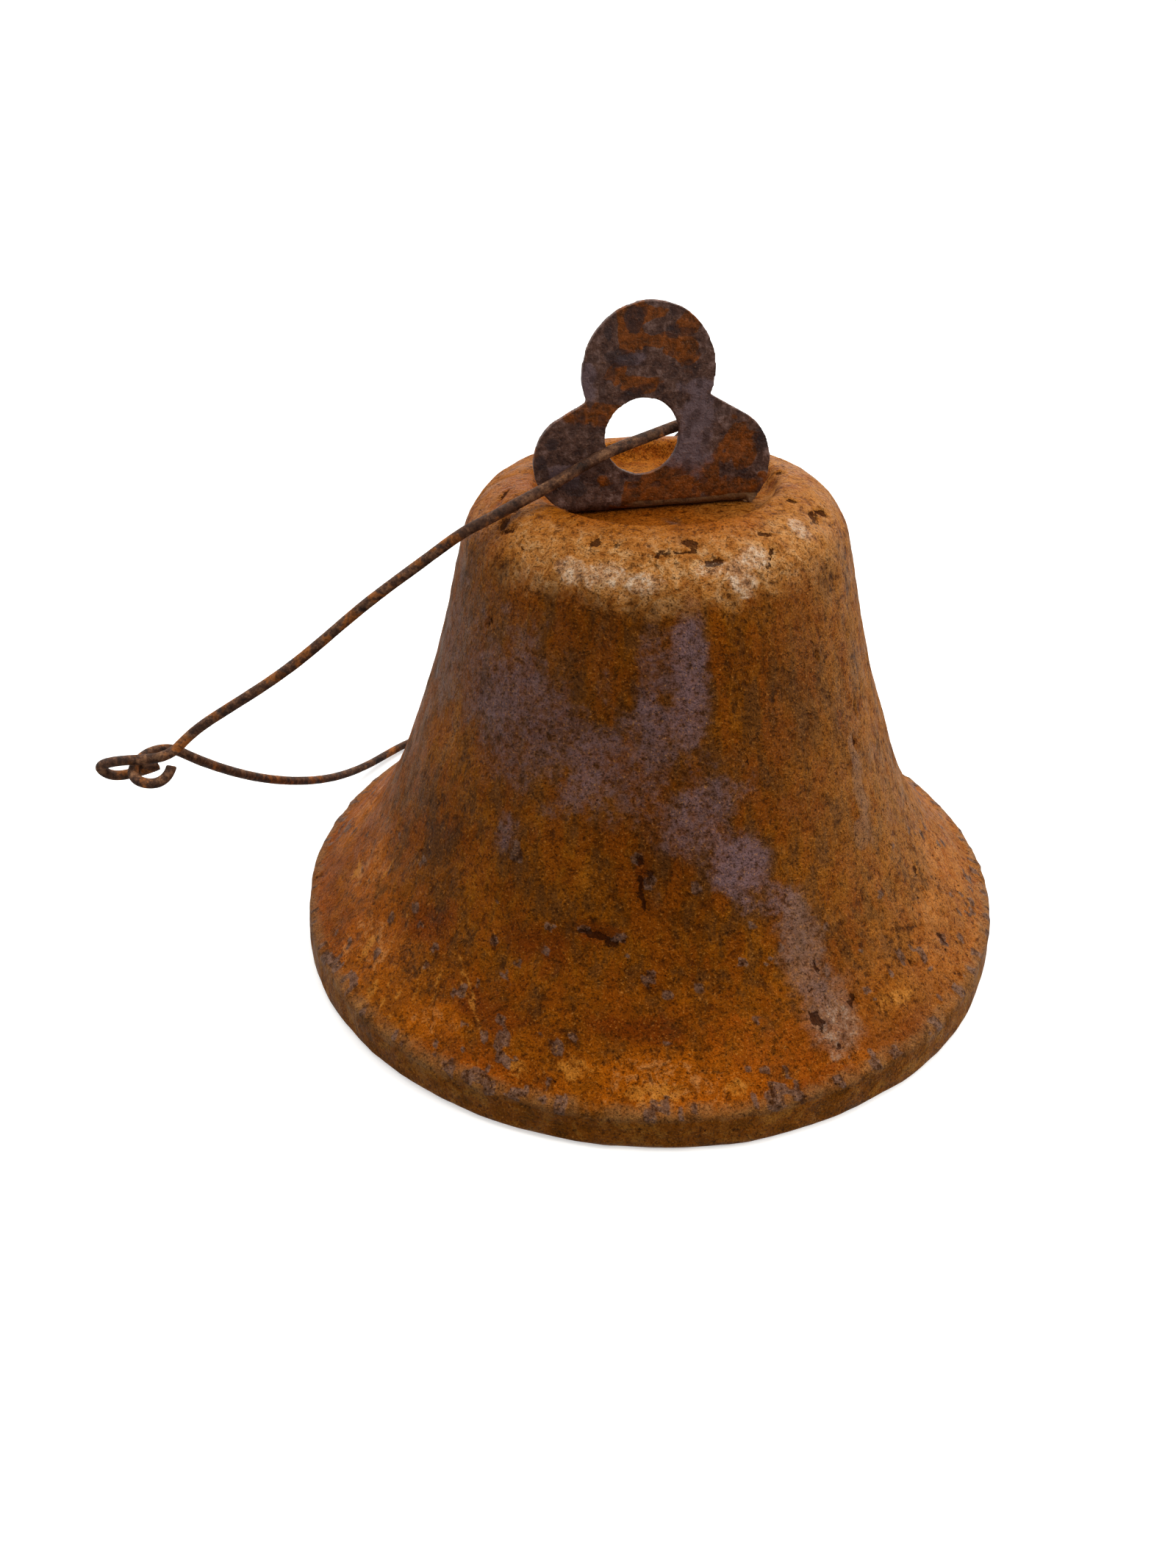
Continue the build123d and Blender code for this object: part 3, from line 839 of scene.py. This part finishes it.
# CAD node, body, material slot, voxel, depth, cell, seed and finish.
WEATHERED = [
    ("hanger_plate", "bell", "hanger_sheet", 0.45, 0.22, 3.2, 61, plate_finish),
    ("hanging_wire", "wire", "wire_steel", 0.42, 0.06, 5.0, 62, wire_finish),
    ("hanger_bolt", "bell", "fastener_steel", 0.35, 0.16, 2.0, 63, bolt_finish),
    ("crown_washer", "bell", "fastener_steel", 0.35, 0.14, 2.4, 64, bolt_finish),
    ("hanger_nut", "bell", "fastener_steel", 0.3, 0.14, 2.0, 65, bolt_finish),
    ("clapper_link", "link", "clapper_steel", 0.3, 0.16, 2.0, 66, clapper_finish),
    ("clapper_rod", "clapper", "clapper_steel", 0.4, 0.2, 3.0, 67, clapper_finish),
    ("clapper_ball", "clapper", "clapper_iron", 0.7, 0.5, 7.0, 68, clapper_finish),
]
for node, body, slot, *rust in WEATHERED:
    weathered(node, "rusted_" + node, body, slot, *rust)


# ------------------------------------------------------------------ studio
FLOOR_HALF_SIDE = 60.0            # metres, so that its edge is never seen
FLOOR_WHITE = (226, 226, 225)
FLOOR_GLOW = 0.36                # lifts the paper to white without lighting the bell
UP = (0, 0, 1)
TOWARDS_VIEWER = (-0.2, -0.95, 0.25)
LIGHTS_AIM = Vector((0, 0, 0.08))


def paper_floor():
    side = FLOOR_HALF_SIDE
    mesh = bpy.data.meshes.new("floor")
    corners = [(-side, -side, 0), (side, -side, 0), (side, side, 0), (-side, side, 0)]
    mesh.from_pydata(corners, [], [(0, 1, 2, 3)])
    floor = bpy.data.objects.new("floor", mesh)
    bpy.context.scene.collection.objects.link(floor)
    g = Graph("floor_paper")
    tooth = g.noise(3, 2)
    paper = g.finish(FLOOR_WHITE, 0.85, g.bump(tooth, 0.05, 0.2), specular=0.1)
    shader = next(n for n in paper.node_tree.nodes if n.type == "BSDF_PRINCIPLED")
    shader.inputs["Emission Color"].default_value = (1.0, 1.0, 1.0, 1.0)
    shader.inputs["Emission Strength"].default_value = FLOOR_GLOW
    mesh.materials.append(paper)
    # The paper shows white, but its bounce is left out, so the bell's lower side stays in shade.
    floor.visible_diffuse = False
    floor.visible_glossy = False


def fading(tree, direction, lo, hi, at_lo, at_hi):
    """World brightness that changes with how far a ray points along direction."""
    place = tree.nodes.new("ShaderNodeTexCoord")
    dot = tree.nodes.new("ShaderNodeVectorMath")
    dot.operation = "DOT_PRODUCT"
    dot.inputs[1].default_value = direction
    tree.links.new(place.outputs["Generated"], dot.inputs[0])
    fade = tree.nodes.new("ShaderNodeMapRange")
    fade.interpolation_type = "SMOOTHSTEP"
    settings = {"From Min": lo, "From Max": hi, "To Min": at_lo, "To Max": at_hi}
    for socket, v in settings.items():
        fade.inputs[socket].default_value = v
    tree.links.new(dot.outputs["Value"], fade.inputs["Value"])
    return fade.outputs[0]


def soft_world():
    """White to the camera; dimmer on the bell from the viewer's side and from below."""
    world = bpy.data.worlds.new("studio")
    bpy.context.scene.world = world
    world.use_nodes = True
    tree = world.node_tree
    tree.nodes.clear()
    out = tree.nodes.new("ShaderNodeOutputWorld")
    back = tree.nodes.new("ShaderNodeBackground")
    level = tree.nodes.new("ShaderNodeMath")
    level.operation = "MULTIPLY"
    tree.links.new(fading(tree, TOWARDS_VIEWER, -0.2, 0.9, 1.15, 0.50), level.inputs[0])
    tree.links.new(fading(tree, UP, -0.25, 0.15, 0.42, 1.0), level.inputs[1])
    seen = tree.nodes.new("ShaderNodeLightPath")
    pick = tree.nodes.new("ShaderNodeMix")
    tree.links.new(seen.outputs["Is Camera Ray"], pick.inputs["Factor"])
    tree.links.new(level.outputs[0], pick.inputs["A"])
    pick.inputs["B"].default_value = 1.0
    back.inputs["Color"].default_value = (1.0, 1.0, 1.0, 1.0)
    tree.links.new(pick.outputs["Result"], back.inputs["Strength"])
    tree.links.new(back.outputs[0], out.inputs["Surface"])


def panel(name, at, size, watts, colour):
    """A soft rectangular light aimed at the bell."""
    light = bpy.data.lights.new(name, "AREA")
    light.shape = "RECTANGLE"
    light.size, light.size_y = size
    light.energy = watts
    light.color = colour
    lamp = bpy.data.objects.new(name, light)
    lamp.location = at
    lamp.rotation_euler = (LIGHTS_AIM - Vector(at)).to_track_quat("-Z", "Y").to_euler()
    bpy.context.scene.collection.objects.link(lamp)
    lamp.visible_camera = False


paper_floor()
soft_world()
panel("overhead", at=(0.1, 0.25, 1.5), size=(1.2, 0.9), watts=7.2, colour=(1.0, 0.96, 0.90))
panel("window", at=(0.75, -0.55, 0.85), size=(0.35, 0.5), watts=4.0, colour=(1.0, 0.95, 0.88))

# ------------------------------------------------------------------ camera
EYE = Vector((-0.0931, -0.3475, 0.2833))
HEADING, PITCH, ROLL = (math.radians(a) for a in (11.52, -33.31, -0.41))
LENS_MM = 27.04
SENSOR_MM = 36.0


def aimed_camera():
    """A camera at EYE, turned right from +Y by HEADING, tipped by PITCH and rolled by ROLL."""
    forward = Vector((
        math.sin(HEADING) * math.cos(PITCH), math.cos(HEADING) * math.cos(PITCH), math.sin(PITCH)
    ))
    level = forward.cross(Vector(UP)).normalized()
    upright = level.cross(forward)
    right = math.cos(ROLL) * level + math.sin(ROLL) * upright
    up = -math.sin(ROLL) * level + math.cos(ROLL) * upright
    camera = bpy.data.cameras.new("camera")
    camera.lens = LENS_MM
    camera.sensor_width = SENSOR_MM
    camera.clip_start = 0.01
    holder = bpy.data.objects.new("camera", camera)
    turn = Matrix((right, up, -forward)).transposed().to_4x4()
    holder.matrix_world = Matrix.Translation(EYE) @ turn
    bpy.context.scene.collection.objects.link(holder)
    return holder


bpy.context.scene.camera = aimed_camera()
bpy.context.scene.view_settings.view_transform = "Standard"
bpy.context.scene.view_settings.look = "Medium High Contrast"
